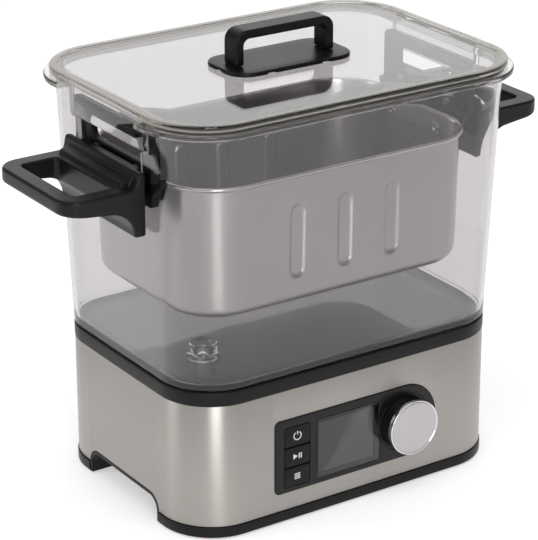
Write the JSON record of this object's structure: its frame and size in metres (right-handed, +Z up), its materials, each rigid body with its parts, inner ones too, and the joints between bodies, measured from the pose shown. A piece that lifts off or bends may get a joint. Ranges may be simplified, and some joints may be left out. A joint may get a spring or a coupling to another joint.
{
  "type": "sous vide bath cooker",
  "caption": "Counter-top water-bath cooker: steel-clad base with display, buttons and knob, clear tank, lift-out steel pan with side handles, clear lid.",
  "frame": {"origin": "centre of the bounding box's bottom face, on the surface the base stands on", "axes": "+Z up, -Y the side with the control panel, +X to the right seen from the front, along the two side handles"},
  "size_m": [0.3896, 0.2126, 0.323],
  "materials": {
    "brushed_steel": "fine upright brushing",
    "drawn_steel": "drawn and satin polished",
    "knob_metal": "satin face with a bright turned edge",
    "black_plastic": "fine satin texture",
    "gloss_black": "glossy display window",
    "display_grey": "grey liquid-crystal display, switched off",
    "clear_plastic": "clear, polished",
    "coated_plate": "dark coated plate",
    "heater_tube": "dull heater sheath",
    "black_rubber": "matte",
    "zinc_screw": "plated fastener",
    "circuit_board": "green solder mask"
  },
  "bodies": {
    "base": {"base_housing": "brushed_steel", "base_skirt": "black_plastic", "top_collar": "black_plastic", "base_deck": "black_plastic", "heating_plate": "coated_plate", "tank_gasket": "black_rubber", "panel_bezel": "black_plastic", "display_lens": "gloss_black", "display_module": "display_grey", "control_board": "circuit_board", "power_board": "circuit_board", "heating_element": "heater_tube", "temperature_sensor": "zinc_screw", "thermal_fuse": "zinc_screw", "encoder": "black_plastic", "switch_power": "black_plastic", "switch_start": "black_plastic", "switch_menu": "black_plastic", "cord_gland": "black_plastic", "foot_front_left": "black_rubber", "foot_front_right": "black_rubber", "foot_rear_left": "black_rubber", "foot_rear_right": "black_rubber", "base_screw_front_left": "zinc_screw", "base_screw_front_right": "zinc_screw", "base_screw_rear_left": "zinc_screw", "base_screw_rear_right": "zinc_screw"},
    "tank": {"tank": "clear_plastic", "tank_standpipe": "clear_plastic"},
    "pan": {"insert_pan": "drawn_steel", "pan_bracket_left": "black_plastic", "pan_bracket_right": "black_plastic", "handle_left": "black_plastic", "handle_right": "black_plastic", "rivet_left_front": "zinc_screw", "rivet_left_rear": "zinc_screw", "rivet_right_front": "zinc_screw", "rivet_right_rear": "zinc_screw", "handle_screw_left_front": "zinc_screw", "handle_screw_left_rear": "zinc_screw", "handle_screw_right_front": "zinc_screw", "handle_screw_right_rear": "zinc_screw"},
    "lid": {"lid_pane": "clear_plastic", "lid_seal": "black_rubber", "lid_handle_base": "black_plastic", "lid_grip": "black_plastic", "lid_screw_left": "zinc_screw", "lid_screw_right": "zinc_screw"},
    "knob": {"knob_body": "black_plastic", "knob_cap": "knob_metal"},
    "button_power": {"button_power": "black_plastic"},
    "button_start": {"button_start": "black_plastic"},
    "button_menu": {"button_menu": "black_plastic"}
  },
  "joints": [
    {"name": "tank_lift", "type": "slide", "parent": "base", "child": "tank", "axis": [0, 0, 1], "range_m": [0, 0.22]},
    {"name": "pan_lift", "type": "slide", "parent": "tank", "child": "pan", "axis": [0, 0, 1], "range_m": [0, 0.16]},
    {"name": "lid_lift", "type": "slide", "parent": "pan", "child": "lid", "axis": [0, 0, 1], "range_m": [0, 0.08]},
    {"name": "knob_turn", "type": "hinge", "parent": "base", "child": "knob", "pos_m": [0.0416, -0.0939, 0.0496], "axis": [0, -1, 0], "continuous": true},
    {"name": "button_power_press", "type": "slide", "parent": "base", "child": "button_power", "axis": [0, 1, 0], "range_m": [0, 0.001], "stiffness_N_per_m": 300},
    {"name": "button_start_press", "type": "slide", "parent": "base", "child": "button_start", "axis": [0, 1, 0], "range_m": [0, 0.001], "stiffness_N_per_m": 300},
    {"name": "button_menu_press", "type": "slide", "parent": "base", "child": "button_menu", "axis": [0, 1, 0], "range_m": [0, 0.001], "stiffness_N_per_m": 300}
  ]
}
